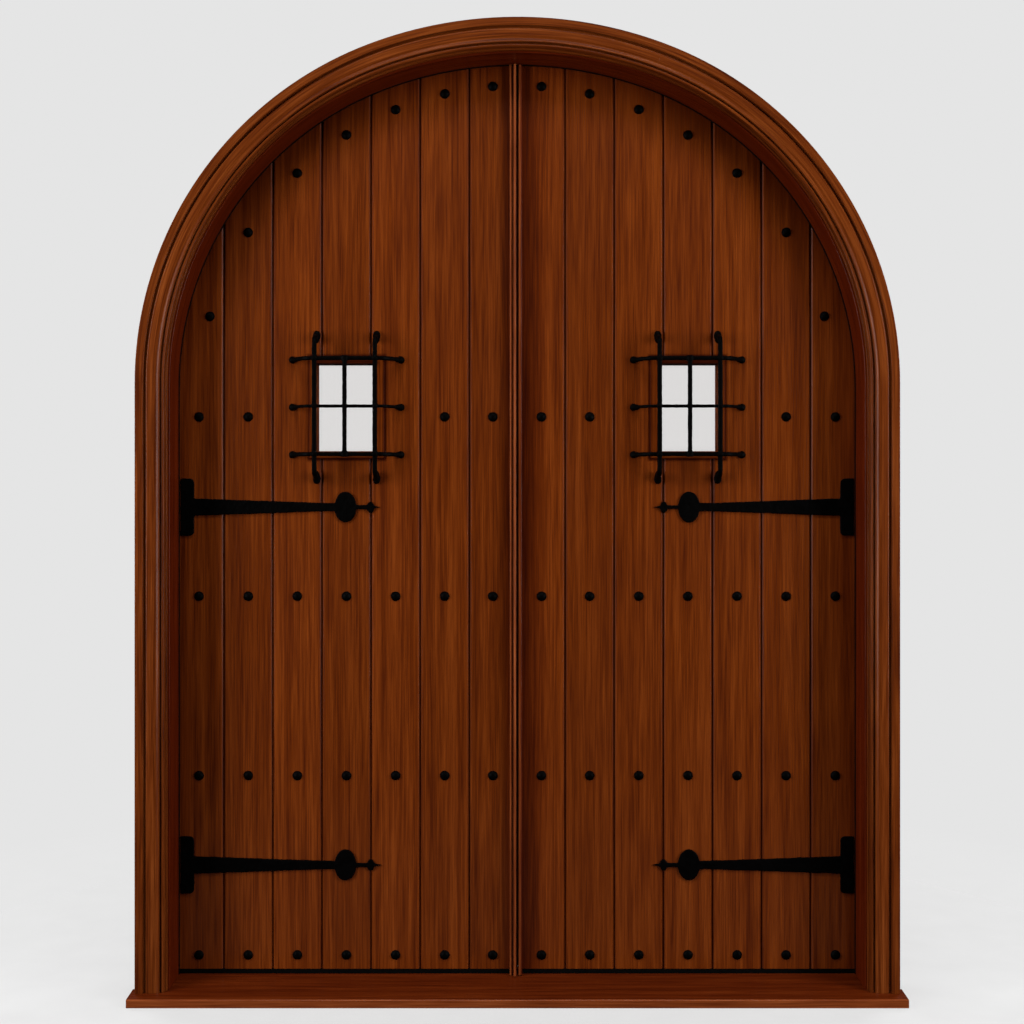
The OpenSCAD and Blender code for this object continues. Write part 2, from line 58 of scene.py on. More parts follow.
BOARD_LOW, BOARD_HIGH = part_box("right_board_2")
BOARD_X = BOARD_LOW.x
BOARD_W = BOARD_HIGH.x - BOARD_LOW.x
LEAF_Y = BOARD_LOW.y
LEAF_LOW, LEAF_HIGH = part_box("right_core")
LEAF_EDGE_X = LEAF_HIGH.x
FOOT_Z = LEAF_LOW.z
GLASS_LOW, GLASS_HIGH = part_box("right_glass")
WINDOW = (GLASS_LOW + GLASS_HIGH) / 2
SIGHT_W = 0.160
SIGHT_H = 0.233
TRIM_LOW, TRIM_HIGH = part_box("right_trim_outdoor")
SILL_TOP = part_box("sill")[1].z


# ---------------------------------------------------------------- camera, light and floor


CAMERA_AT = (-0.0138, -3.680, 1.260)
LENS_MM = 50
SENSOR_MM = 36
LIGHTS_AIM = (0, 0, 1.25)
# name, place, size and power of each softbox
SOFTBOXES = [
    ("key_left", (-3.4, -1.95, 1.7), (1.5, 2.6), 135),
    ("key_right", (3.4, -1.95, 1.7), (1.5, 2.6), 135),
    ("key_top", (0, -2.1, 4.6), (3.2, 1.0), 76),
    ("back_left", (-3.2, 2.6, 2.0), (1.5, 2.4), 90),
    ("back_right", (3.2, 2.6, 2.0), (1.5, 2.4), 90),
]


def aim(obj, target):
    """Turns obj so that its -Z axis points at target."""
    direction = Vector(target) - obj.location
    obj.rotation_euler = direction.to_track_quat("-Z", "Y").to_euler()


def make_camera():
    data = bpy.data.cameras.new("camera")
    data.lens = LENS_MM
    data.sensor_width = SENSOR_MM
    camera = bpy.data.objects.new("camera", data)
    camera.location = CAMERA_AT
    camera.rotation_euler = (math.pi / 2, 0, 0)
    SCENE.collection.objects.link(camera)
    SCENE.camera = camera


def softbox(name, place, size, energy):
    data = bpy.data.lights.new(name, "AREA")
    data.shape = "RECTANGLE"
    data.size, data.size_y = size
    data.energy = energy
    light = bpy.data.objects.new(name, data)
    light.location = place
    SCENE.collection.objects.link(light)
    aim(light, LIGHTS_AIM)


def make_lights():
    for name, place, size, energy in SOFTBOXES:
        softbox(name, place, size, energy)


# ---------------------------------------------------------------- short calls for shader trees


class Tree:
    """Short calls for the nodes of one shader tree."""

    def __init__(self, tree):
        self.tree = tree
        tree.nodes.clear()

    def add(self, kind, inputs=None, **settings):
        node = self.tree.nodes.new(kind)
        for key, value in settings.items():
            setattr(node, key, value)
        for key, value in (inputs or {}).items():
            self.plug(node.inputs[key], value)
        return node

    def plug(self, socket, value):
        if isinstance(value, bpy.types.NodeSocket):
            self.tree.links.new(value, socket)
        else:
            socket.default_value = value

    def math(self, operation, a, b=0.0, clamp=False):
        node = self.add("ShaderNodeMath", {0: a, 1: b}, operation=operation, use_clamp=clamp)
        return node.outputs[0]

    def vector(self, operation, a, b=(0, 0, 0)):
        node = self.add("ShaderNodeVectorMath", {0: a, 1: b}, operation=operation)
        return node.outputs["Value" if operation == "DOT_PRODUCT" else "Vector"]

    def combine(self, x, y, z):
        return self.add("ShaderNodeCombineXYZ", {0: x, 1: y, 2: z}).outputs[0]

    def separate(self, vector):
        return self.add("ShaderNodeSeparateXYZ", {0: vector}).outputs

    def place(self):
        return self.add("ShaderNodeTexCoord").outputs["Object"]

    def noise(self, vector, scale, detail=2.0):
        """Noise whose cells measure 1 / scale along each axis."""
        inputs = {"Vector": self.vector("MULTIPLY", vector, scale), "Scale": 1.0, "Detail": detail}
        return self.add("ShaderNodeTexNoise", inputs).outputs["Fac"]

    def remap(self, value, low, high, to_low=0.0, to_high=1.0):
        inputs = {0: value, 1: low, 2: high, 3: to_low, 4: to_high}
        return self.add("ShaderNodeMapRange", inputs).outputs[0]

    def pick(self, factor, a, b):
        """a where factor is 0 and b where it is 1."""
        node = self.add("ShaderNodeMix", {0: factor, 2: a, 3: b}, data_type="FLOAT")
        return node.outputs[0]

    def mix(self, factor, a, b, blend="MIX"):
        inputs = {0: factor, 6: a, 7: b}
        return self.add("ShaderNodeMix", inputs, data_type="RGBA", blend_type=blend).outputs[2]

    def ramp(self, value, stops):
        node = self.add("ShaderNodeValToRGB", {0: value})
        ramp = node.color_ramp
        while len(ramp.elements) < len(stops):
            ramp.elements.new(0.5)
        for element, (place, colour) in zip(ramp.elements, stops):
            element.position = place
            element.color = (*colour, 1)
        return node.outputs[0]

    def bump(self, height, distance, strength, normal=None):
        inputs = {"Height": height, "Distance": distance, "Strength": strength}
        if normal is not None:
            inputs["Normal"] = normal
        return self.add("ShaderNodeBump", inputs).outputs[0]

    def finish(self, inputs):
        """A Principled shader with these inputs, plugged into the output."""
        shader = self.add("ShaderNodeBsdfPrincipled", inputs)
        self.add("ShaderNodeOutputMaterial", {"Surface": shader.outputs[0]})
        return shader


def new_material(name):
    material = bpy.data.materials.new(name)
    material.use_nodes = True
    return material, Tree(material.node_tree)


# ---------------------------------------------------------------- world and floor

BACKDROP = 0.783
# how bright the studio is ahead and behind, and to the sides
FACING_GLOW = 0.012
SIDE_GLOW = 0.30


def make_world():
    """A pale backdrop for the camera and through glass, and a dim studio for reflections."""
    world = bpy.data.worlds.new("studio")
    SCENE.world = world
    world.use_nodes = True
    t = Tree(world.node_tree)
    direction = t.separate(t.add("ShaderNodeTexCoord").outputs["Generated"])
    facing = t.math("ABSOLUTE", direction[1])
    sides = t.remap(facing, 0.75, 0.25, FACING_GLOW, SIDE_GLOW)
    above = t.remap(direction[2], -0.3, 0.9, 0.75, 1.3)
    studio = t.math("MULTIPLY", sides, above)
    path = t.add("ShaderNodeLightPath").outputs
    bounced = t.math("ADD", path["Diffuse Depth"], path["Glossy Depth"])
    through = t.math("MULTIPLY", path["Is Transmission Ray"], t.math("LESS_THAN", bounced, 0.5))
    seen = t.math("MAXIMUM", path["Is Camera Ray"], through)
    strength = t.pick(seen, studio, BACKDROP)
    back = t.add("ShaderNodeBackground", {"Color": (1, 1, 1, 1), "Strength": strength})
    t.add("ShaderNodeOutputWorld", {"Surface": back.outputs[0]})


FLOOR_R = 2.6
FLOOR_FADE_R = 1.3
FLOOR_GLOW = 0.54


def make_floor():
    """A pale round floor that fades out towards its rim."""
    mesh = bpy.data.meshes.new("floor")
    bm = bmesh.new()
    bmesh.ops.create_circle(bm, cap_ends=True, segments=96, radius=FLOOR_R)
    bm.to_mesh(mesh)
    bm.free()
    floor = bpy.data.objects.new("floor", mesh)
    floor.location = (0, 0, -0.0005)
    SCENE.collection.objects.link(floor)
    material, t = new_material("pale_floor")
    place = t.place()
    out = t.add("ShaderNodeVectorMath", {0: place}, operation="LENGTH").outputs["Value"]
    seen = t.add("ShaderNodeLightPath").outputs["Is Camera Ray"]
    tone = t.remap(t.noise(place, (9, 9, 9), 4), 0.3, 0.7, 0.21, 0.23)
    tone = t.math("MULTIPLY", tone, t.pick(seen, 0.45, 1.0))
    inputs = {
        "Base Color": t.combine(tone, tone, tone),
        "Roughness": 0.9,
        "Specular IOR Level": 0.0,
        "Emission Color": (1, 1, 1, 1),
        "Emission Strength": t.pick(seen, 0.0, FLOOR_GLOW),
        "Alpha": t.remap(out, FLOOR_FADE_R, FLOOR_R - 0.05, 1.0, 0.0),
    }
    t.finish(inputs)
    mesh.materials.append(material)


# ---------------------------------------------------------------- grain directions


def board_index(t, x):
    """Which board a point is on, with its own numbers for each leaf."""
    across = t.math("DIVIDE", t.math("SUBTRACT", t.math("ABSOLUTE", x), BOARD_X), BOARD_W)
    leaf = t.math("MULTIPLY", t.math("SIGN", x), 17.0)
    return t.math("ADD", t.math("FLOOR", across), leaf)


def upright_grain(t, seed):
    """Straight grain up the piece, cut from another log in each board."""
    place = t.place()
    index = board_index(t, t.separate(place)[0])
    log = t.add("ShaderNodeTexWhiteNoise", {"W": t.math("ADD", index, seed)}, noise_dimensions="1D")
    moved = t.vector("MULTIPLY", log.outputs["Color"], (7, 5, 9))
    return t.vector("ADD", place, moved), log.outputs["Value"]


def plain_grain(t, seed):
    """Straight grain up a single stick."""
    place = t.place()
    leaf = t.math("SIGN", t.separate(place)[0])
    log = t.add("ShaderNodeTexWhiteNoise", {"W": t.math("ADD", leaf, seed)}, noise_dimensions="1D")
    moved = t.vector("MULTIPLY", log.outputs["Color"], (7, 5, 9))
    return t.vector("ADD", place, moved), log.outputs["Value"]


def level_grain(t, seed):
    """Straight grain along X."""
    x, y, z = t.separate(t.place())
    return t.combine(t.math("ADD", z, seed), y, x), 0.5


def trim_grain(t, seed):
    """Grain along each stick of a mitred frame round a window."""
    x, y, z = t.separate(t.place())
    across = t.math("SUBTRACT", t.math("ABSOLUTE", x), WINDOW.x)
    up = t.math("SUBTRACT", z, WINDOW.z)
    past_side = t.math("SUBTRACT", t.math("ABSOLUTE", across), SIGHT_W / 2)
    past_end = t.math("SUBTRACT", t.math("ABSOLUTE", up), SIGHT_H / 2)
    level = t.math("GREATER_THAN", past_end, past_side)
    stick = t.math("ADD", t.math("MULTIPLY", t.math("SIGN", up), level), t.math("SIGN", x))
    stick = t.math("ADD", stick, t.math("MULTIPLY", t.math("SIGN", across), 3.7))
    u = t.math("ADD", t.pick(level, x, z), t.math("MULTIPLY", stick, seed))
    w = t.pick(level, z, x)
    return t.combine(u, y, w), 0.5


def length_of(t, a, b):
    squares = t.math("ADD", t.math("MULTIPLY", a, a), t.math("MULTIPLY", b, b))
    return t.math("SQRT", squares)


def bent_grain(t, seed):
    """Grain that runs up a leg of the frame, round the arch and down the other leg."""
    x, y, z = t.separate(t.place())
    out = t.math("ABSOLUTE", x)
    haunch_x = t.math("SUBTRACT", out, HAUNCH_X)
    haunch_z = t.math("SUBTRACT", z, SPRING_Z)
    crown_z = t.math("SUBTRACT", z, CROWN_Z)
    haunch_turn = t.math("ARCTAN2", haunch_z, haunch_x)
    crown_turn = t.math("ARCTAN2", crown_z, out)
    haunch_r = length_of(t, haunch_x, haunch_z)
    crown_r = length_of(t, out, crown_z)
    in_crown = t.math("GREATER_THAN", crown_turn, SPLIT)
    in_leg = t.math("LESS_THAN", haunch_z, 0.0)
    turn = t.pick(in_crown, haunch_turn, crown_turn)
    u = t.pick(in_crown, t.math("ADD", haunch_r, HAUNCH_X), t.math("SUBTRACT", crown_r, CROWN_MORE))
    u = t.pick(in_leg, u, out)
    w = t.pick(in_leg, t.math("MULTIPLY", turn, BEND_R), haunch_z)
    other = t.math("SUBTRACT", math.pi * BEND_R, w)
    w = t.pick(t.math("LESS_THAN", x, 0.0), w, other)
    return t.combine(t.math("ADD", u, seed), y, w), 0.5


# ---------------------------------------------------------------- finishes

# how far each finish is worn round over its sharp edges
EDGE_R = 0.0014
IRON_EDGE_R = 0.0010
STEEL_EDGE_R = 0.0005


def worn_edges(t, radius):
    """Normals rounded over sharp edges, and how near an edge each point is."""
    rounded = t.add("ShaderNodeBevel", {"Radius": radius}, samples=4).outputs[0]
    flat = t.add("ShaderNodeNewGeometry").outputs["Normal"]
    turned = t.vector("DOT_PRODUCT", rounded, flat)
    return rounded, t.remap(turned, 0.995, 0.80)


GROOVE_HALF = 0.0038
# what each darkening multiplies the wood's colour by; all but the one in the grooves are painted
# shade
GROOVE_DARKENING = (0.24, 0.15, 0.12)
CORNER_SHADE = (0.52, 0.36, 0.30)
STRIP_SHADE = (0.36, 0.20, 0.15)
SILL_TOP_SHADE = (0.42, 0.27, 0.16)
BAR_SHADOW = (0.26, 0.20, 0.40)
TRIM_SHADE = (0.30, 0.17, 0.14)


def darker_in_grooves(t):
    """1 down in the V between two boards, where the colour is darkened, and 0 out on their faces.
    """
    x = t.separate(t.place())[0]
    across = t.math("DIVIDE", t.math("SUBTRACT", t.math("ABSOLUTE", x), BOARD_X), BOARD_W)
    past = t.math("FRACT", t.math("ADD", across, 0.5))
    off = t.math("MULTIPLY", t.math("ABSOLUTE", t.math("SUBTRACT", past, 0.5)), BOARD_W)
    return t.remap(off, GROOVE_HALF, 0.0012, 0.0, 1.0)


# how wide the painted shadow along the trim's outline is
TRIM_SHADE_W = 0.0075
BOARD_TOP_R = LEAF_EDGE_X - HAUNCH_X
# where the painted corner shade starts and how far it reaches out on the leaf
MIDDLE_NEAR = 0.016
MIDDLE_REACH = {"left": 0.052, "right": 0.100}
JAMB_REACH = 0.034
ARCH_REACH = 0.075


def off_trim(t):
    """How far outside the window trim's outline a point is, and negative inside."""
    x, y, z = t.separate(t.place())
    middle = (TRIM_LOW + TRIM_HIGH) / 2
    across = t.math("ABSOLUTE", t.math("SUBTRACT", t.math("ABSOLUTE", x), middle.x))
    up = t.math("ABSOLUTE", t.math("SUBTRACT", z, middle.z))
    past_side = t.math("SUBTRACT", across, (TRIM_HIGH.x - TRIM_LOW.x) / 2)
    past_end = t.math("SUBTRACT", up, (TRIM_HIGH.z - TRIM_LOW.z) / 2)
    return t.math("MAXIMUM", past_side, past_end)


def shade_by_trim(t):
    """1 in the painted shadow along the outline of the trim and 0 away from it."""
    return t.remap(t.math("ABSOLUTE", off_trim(t)), 0.0006, TRIM_SHADE_W, 1.0, 0.0)


def shade_in_corners(t):
    """1 where the boards meet the astragal, the jambs and the arch, under painted shade, and 0 out
    on the leaf.
    """
    x, y, z = t.separate(t.place())
    out = t.math("ABSOLUTE", x)
    on_right = t.math("GREATER_THAN", x, 0.0)
    reach = t.pick(on_right, MIDDLE_REACH["left"], MIDDLE_REACH["right"])
    by_middle = t.remap(out, MIDDLE_NEAR, reach, 1.0, 0.0)
    by_jamb = t.remap(out, LEAF_EDGE_X - JAMB_REACH, LEAF_EDGE_X - 0.006, 0.0, 0.55)
    rise = t.math("SUBTRACT", z, SPRING_Z)
    arch_r = length_of(t, t.math("SUBTRACT", out, HAUNCH_X), t.math("MAXIMUM", rise, 0.0))
    by_arch = t.remap(arch_r, BOARD_TOP_R - ARCH_REACH, BOARD_TOP_R, 0.0, 0.8)
    return t.math("MAXIMUM", by_middle, t.math("MAXIMUM", by_jamb, by_arch))


def shade_behind_nose(t):
    """0 on the front of the sill's nose, which stays lighter, and 1 over the rest of it, where
    shade is painted.
    """
    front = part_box("sill")[0].y
    return t.remap(t.separate(t.place())[1], front + 0.0015, front + 0.006, 0.0, 1.0)


def shadow_under_bar(t):
    """1 on the top stick of the trim just under the grille's top bar, where its shadow is painted,
    and 0 elsewhere.
    """
    x, y, z = t.separate(t.place())
    up = t.math("SUBTRACT", z, WINDOW.z)
    over = t.remap(up, SIGHT_H / 2 - 0.004, SIGHT_H / 2, 0.0, 1.0)
    below = t.remap(up, SIGHT_H / 2 + 0.012, SIGHT_H / 2 + 0.019, 1.0, 0.0)
    across = t.math("ABSOLUTE", t.math("SUBTRACT", t.math("ABSOLUTE", x), WINDOW.x))
    inside = t.remap(across, SIGHT_W / 2, SIGHT_W / 2 + 0.006, 1.0, 0.0)
    return t.math("MULTIPLY", inside, t.math("MULTIPLY", over, below))


def shade_past_strip(t):
    """1 on the outer half of the right leaf's narrow strip, where shade is painted, and 0 on the
    rest.
    """
    return t.remap(t.separate(t.place())[0], 0.0080, 0.0100, 0.0, 1.0)


# cells per metre across the grain, through the stick and along the grain
RIBBON = (52, 52, 1.1)
FIBRE = (290, 290, 7.0)
FIGURE = (6.5, 6.5, 0.34)
PORES = (900, 900, 24)
CLOUD = (5, 5, 2.2)
RUB_AND_HIGHLIGHT = (60, 60, 6)
GROWTH_LINES = 150.0
TONE_SPREAD = 0.16


def wood(name, grain, seed, dark, mid, light, gloss=0.12, darkenings=()):
    """Varnished red cedar: ribbons, fine fibres, growth lines and pores along the grain."""
    material, t = new_material(name)
    along, log = grain(t, seed)
    ribbon = t.noise(along, RIBBON, 3)
    fibre = t.noise(along, FIBRE, 3)
    figure = t.noise(along, FIGURE, 1)
    lines = t.math("SINE", t.math("MULTIPLY", figure, GROWTH_LINES))
    pores = t.remap(t.noise(along, PORES, 2), 0.60, 0.74)
    cloud = t.noise(along, CLOUD, 2)
    value = t.math("ADD", t.math("MULTIPLY", ribbon, 0.40), t.math("MULTIPLY", fibre, 0.52))
    value = t.math("ADD", value, t.math("MULTIPLY", lines, 0.018))
    value = t.math("ADD", value, t.math("MULTIPLY", cloud, 0.09))
    colour = t.ramp(value, [(0.36, dark), (0.51, mid), (0.68, light)])
    tone = t.remap(log, 0.0, 1.0, 1 - TONE_SPREAD / 2, 1 + TONE_SPREAD / 2)
    colour = t.mix(1.0, colour, t.combine(tone, tone, tone), "MULTIPLY")
    colour = t.mix(t.math("MULTIPLY", pores, 0.45), colour, (*dark, 1), "MIX")
    # darkenings multiply the colour: painted shade, and the darkening in the grooves
    for where, darkening in darkenings:
        colour = t.mix(where(t), colour, (*darkening, 1), "MULTIPLY")
    normal, edge = worn_edges(t, EDGE_R)
    # lighter along sharp edges: partly rubbed wear, partly painted highlight
    rub_and_highlight = t.math("MULTIPLY", edge, t.remap(t.noise(along, RUB_AND_HIGHLIGHT, 2), 0.35, 0.65))
    colour = t.mix(t.math("MULTIPLY", rub_and_highlight, 0.22), colour, (*light, 1), "MIX")
    height = t.math("SUBTRACT", t.math("MULTIPLY", fibre, 0.7), t.math("MULTIPLY", pores, 0.5))
    inputs = {
        "Base Color": colour,
        "Roughness": t.remap(t.math("ADD", fibre, cloud), 0.7, 1.3, 0.34, 0.24),
        "Specular IOR Level": gloss,
        "Coat Weight": gloss * 0.4,
        "Coat Roughness": 0.16,
        "Normal": t.bump(height, 0.0005, 0.25, normal),
    }
    t.finish(inputs)
    return material


IRON_GLOSS = 0.018
IRON_DARK = (0.0004, 0.0003, 0.0003)
IRON_LIGHT = (0.0011, 0.0009, 0.0009)
IRON_RUBBED = (0.0036, 0.0033, 0.0034)


def iron(name):
    """Black forged iron: dull, hammered, with a little bare sheen along its edges."""
    material, t = new_material(name)
    place = t.place()
    dents = t.add("ShaderNodeTexVoronoi", {"Vector": place, "Scale": 110.0}, feature="SMOOTH_F1")
    scale = t.noise(place, (420, 420, 420), 3)
    cloud = t.noise(place, (35, 35, 35), 3)
    normal, edge = worn_edges(t, IRON_EDGE_R)
    colour = t.ramp(cloud, [(0.3, IRON_DARK), (0.7, IRON_LIGHT)])
    colour = t.mix(t.math("MULTIPLY", edge, 0.5), colour, (*IRON_RUBBED, 1))
    height = t.math("ADD", dents.outputs["Distance"], t.math("MULTIPLY", scale, 0.25))
    inputs = {
        "Base Color": colour,
        "Roughness": t.remap(t.math("ADD", scale, cloud), 0.7, 1.3, 0.60, 0.44),
        "Specular IOR Level": IRON_GLOSS,
        "Normal": t.bump(height, 0.0012, 0.55, normal),
    }
    t.finish(inputs)
    return material


def steel(name):
    """Dull brushed steel, for hinges and screws."""
    material, t = new_material(name)
    place = t.place()
    brushed = t.noise(place, (60, 2200, 60), 2)
    cloud = t.noise(place, (40, 40, 40), 3)
    normal, edge = worn_edges(t, STEEL_EDGE_R)
    colour = t.ramp(cloud, [(0.3, (0.20, 0.19, 0.18)), (0.7, (0.33, 0.32, 0.30))])
    colour = t.mix(t.math("MULTIPLY", edge, 0.4), colour, (0.5, 0.49, 0.47, 1))
    inputs = {
        "Base Color": colour,
        "Metallic": 1.0,
        "Roughness": t.remap(brushed, 0.3, 0.7, 0.30, 0.46),
        "Normal": t.bump(brushed, 0.0002, 0.2, normal),
    }
    t.finish(inputs)
    return material


SEAL_GLOSS = 0.03
RUBBER_DARK = (0.0009, 0.0008, 0.0008)
RUBBER_LIGHT = (0.0024, 0.0021, 0.0020)
PILE_DARK = (0.050, 0.0050, 0.0020)
PILE_LIGHT = (0.110, 0.0120, 0.0050)


def rubber(name, dark, light):
    """A matt seal with a fine bloom: rubber, or dense pile."""
    material, t = new_material(name)
    place = t.place()
    bloom = t.noise(place, (180, 180, 180), 3)
    colour = t.ramp(bloom, [(0.35, dark), (0.75, light)])
    inputs = {
        "Base Color": colour,
        "Roughness": t.remap(bloom, 0.3, 0.7, 0.72, 0.88),
        "Specular IOR Level": SEAL_GLOSS,
        "Normal": t.bump(bloom, 0.0003, 0.3),
    }
    t.finish(inputs)
    return material


def clear_glass(name):
    """Window glass with a faint waviness and a trace of dust towards its edges."""
    material, t = new_material(name)
    x, y, z = t.separate(t.place())
    across = t.math("ABSOLUTE", t.math("SUBTRACT", t.math("ABSOLUTE", x), WINDOW.x))
    up = t.math("ABSOLUTE", t.math("SUBTRACT", z, WINDOW.z))
    side = t.math("SUBTRACT", SIGHT_W / 2, across)
    end = t.math("SUBTRACT", SIGHT_H / 2, up)
    rim = t.remap(t.math("MINIMUM", side, end), 0.0, 0.016, 1.0, 0.0)
    dust = t.math("MULTIPLY", rim, t.noise(t.place(), (90, 90, 90), 3))
    wave = t.noise(t.place(), (14, 14, 5), 1)
    inputs = {
        "Base Color": t.mix(dust, (0.985, 0.965, 0.955, 1), (0.90, 0.87, 0.85, 1)),
        "Roughness": t.remap(dust, 0.0, 1.0, 0.0, 0.10),
        "IOR": 1.5,
        "Transmission Weight": 1.0,
        "Normal": t.bump(wave, 0.002, 0.05),
    }
    t.finish(inputs)
    return material


def finish_nodes(material, names):
    for name in names:
        for slot in NODES[name].material_slots:
            slot.material = material


LEAF_DARK = (0.060, 0.0088, 0.0009)
LEAF_MID = (0.114, 0.0202, 0.0020)
LEAF_LIGHT = (0.180, 0.0370, 0.0046)
CASING_DARK = (0.052, 0.0078, 0.0010)
CASING_MID = (0.112, 0.0218, 0.0028)
CASING_LIGHT = (0.200, 0.0480, 0.0088)
STRIP_DARK = (0.105, 0.0180, 0.0034)
STRIP_MID = (0.190, 0.0400, 0.0090)
STRIP_LIGHT = (0.300, 0.0780, 0.0210)
JAMB_DARK = (0.042, 0.0040, 0.0006)
JAMB_MID = (0.078, 0.0082, 0.0010)
JAMB_LIGHT = (0.120, 0.0160, 0.0022)


def leaf_nodes(*words):
    return [f"{hand}_{word}" for hand in SIDES for word in words]


def make_woods():
    boards = ["board_1", "board_2", "board_3", "board_4_low", "board_4_high"]
    boards += ["board_5", "board_6", "board_7", "core"]
    leaf = (LEAF_DARK, LEAF_MID, LEAF_LIGHT)
    jamb = (JAMB_DARK, JAMB_MID, JAMB_LIGHT)
    casing = (CASING_DARK, CASING_MID, CASING_LIGHT)
    strip = (STRIP_DARK, STRIP_MID, STRIP_LIGHT)
    casings = ["casing_left", "casing_right"]
    casings += ["casing_head_left", "casing_head_crown", "casing_head_right"]
    jambs = ["jamb_left", "jamb_right", "head_jamb_left", "head_jamb_crown", "head_jamb_right"]
    # painted shade in the corners of the leaf and along the trim's outline, and darkening in the
    # grooves
    edges = [(darker_in_grooves, GROOVE_DARKENING), (shade_in_corners, CORNER_SHADE)]
    edges.append((shade_by_trim, TRIM_SHADE))
    planks = wood("board_wood", upright_grain, 3.0, *leaf, darkenings=edges)
    finish_nodes(planks, leaf_nodes(*boards))
    # painted shade on the outer half of the right leaf's strip
    past = [(shade_past_strip, STRIP_SHADE)]
    astragals = wood("astragal_wood", plain_grain, 11.0, *strip, gloss=0.16, darkenings=past)
    finish_nodes(astragals, leaf_nodes("astragal"))
    # painted shadow along the trim's outline and under the grille's top bar
    round_trim = [(shade_by_trim, TRIM_SHADE), (shadow_under_bar, BAR_SHADOW)]
    trims = wood("trim_wood", trim_grain, 2.3, *leaf, gloss=0.03, darkenings=round_trim)
    finish_nodes(trims, leaf_nodes("trim_outdoor", "trim_indoor"))
    finish_nodes(wood("casing_wood", bent_grain, 1.7, *casing, gloss=0.06), casings)
    finish_nodes(wood("jamb_wood", bent_grain, 5.1, *jamb, gloss=0.05), jambs)
    # painted shade on the sill's top, behind its lighter nose
    behind = [(shade_behind_nose, SILL_TOP_SHADE)]
    finish_nodes(wood("sill_wood", level_grain, 8.3, *strip, gloss=0.07, darkenings=behind), ["sill"])


def make_finishes():
    make_woods()
    seals = ["weatherstrip_left", "weatherstrip_crown", "weatherstrip_right"]
    seal = rubber("seal_rubber_fine", RUBBER_DARK, RUBBER_LIGHT)
    pile = rubber("brown_pile", PILE_DARK, PILE_LIGHT)
    finish_nodes(seal, seals + leaf_nodes("sweep"))
    hardware = ["frame_hinges", "hinge_pins", "frame_screws", "leaf_hinges", "leaf_screws"]
    finish_nodes(steel("hinge_steel_fine"), leaf_nodes(*hardware))
    finish_nodes(clear_glass("window_glass_fine"), leaf_nodes("glass"))
    black = iron("black_iron_fine")
    finish_nodes(black, leaf_nodes("clavos", "grille", "strap_low", "strap_high"))
    return black, pile


# ---------------------------------------------------------------- ironwork, as forged

IRON_VOXEL = 0.0013
STRAP_VOXEL = 0.0014
GRILLE_DENTS = [(95, 0.00045), (240, 0.00018)]
STRAP_DENTS = [(38, 0.00070), (85, 0.00060), (210, 0.00020)]
BAR = 0.0055
THIN_BAR = 0.0042
UPRIGHT_BAR = 0.0062
STAND = 0.052
UPRIGHT_STAND = 0.055
LEVEL_UP = 0.126
UPRIGHT_OUT = 0.0795
LEVEL_FOOT = 0.144
UPRIGHT_FOOT = 0.190


# where a bar begins to bend, from its foot
LEVEL_RUN = 0.042
UPRIGHT_RUN = 0.016
# half-sizes of the knobs on the leaf, of the necks over them and of the rivets
LEVEL_KNOB = (0.0100, 0.0078, 0.0100)
LEVEL_NECK = (0.0085, 0.0072, 0.0072)
UPRIGHT_KNOB = (0.0104, 0.0080, 0.0140)
UPRIGHT_NECK = (0.0088, 0.0082, 0.0130)
RIVET = (0.0068, 0.0030, 0.0068)
KNOB_OUT = 0.0045
COLLAR_HALF = 0.0084
BAR_STEP = 0.004


def rounded_square(half, count=16, power=4.0):
    """Points of a square with soft corners."""
    points = []
    for k in range(count):
        turn = 2 * math.pi * (k + 0.5) / count
        c, s = math.cos(turn), math.sin(turn)
        r = half / (abs(c) ** power + abs(s) ** power) ** (1 / power)
        points.append((r * c, r * s))
    return points


def softened(points, rounds=3):
    """The same path with its corners cut, again and again."""
    for _ in range(rounds):
        cut = [points[0]]
        for a, b in zip(points, points[1:]):
            cut += [a.lerp(b, 0.25), a.lerp(b, 0.75)]
        points = cut + [points[-1]]
    return points


def evenly(points, step):
    """Points at an even spacing along a path."""
    lengths = [0.0]
    for a, b in zip(points, points[1:]):
        lengths.append(lengths[-1] + (b - a).length)
    count = max(2, round(lengths[-1] / step))
    result, k = [], 0
    for n in range(count + 1):
        at = lengths[-1] * n / count
        while k < len(points) - 2 and lengths[k + 1] < at:
            k += 1
        span = lengths[k + 1] - lengths[k]
        result.append(points[k].lerp(points[k + 1], (at - lengths[k]) / span if span else 0))
    return result


def add_bar(bm, path, across, half):
    """A forged bar along a path that lies square to the direction across."""
    across = Vector(across)
    path = evenly(softened(path), BAR_STEP)
    rings = []
    for k, point in enumerate(path):
        ahead = (path[min(k + 1, len(path) - 1)] - path[max(k - 1, 0)]).normalized()
        out = ahead.cross(across)
        swell = 1 + 0.05 * noise.noise(point * 70)
        ring = rounded_square(half * swell)
        rings.append([bm.verts.new(point + across * a + out * b) for a, b in ring])
    for low, high in zip(rings, rings[1:]):
        for k in range(len(low)):
            n = (k + 1) % len(low)
            bm.faces.new((low[k], low[n], high[n], high[k]))
    bm.faces.new(rings[0][::-1])
    bm.faces.new(rings[-1])


def add_ball(bm, centre, radii):
    """A closed oval ball, to be fused with its neighbours."""
    made = bmesh.ops.create_uvsphere(bm, u_segments=20, v_segments=12, radius=1.0)
    for v in made["verts"]:
        v.co = Vector(centre) + Vector([c * r for c, r in zip(v.co, radii)])


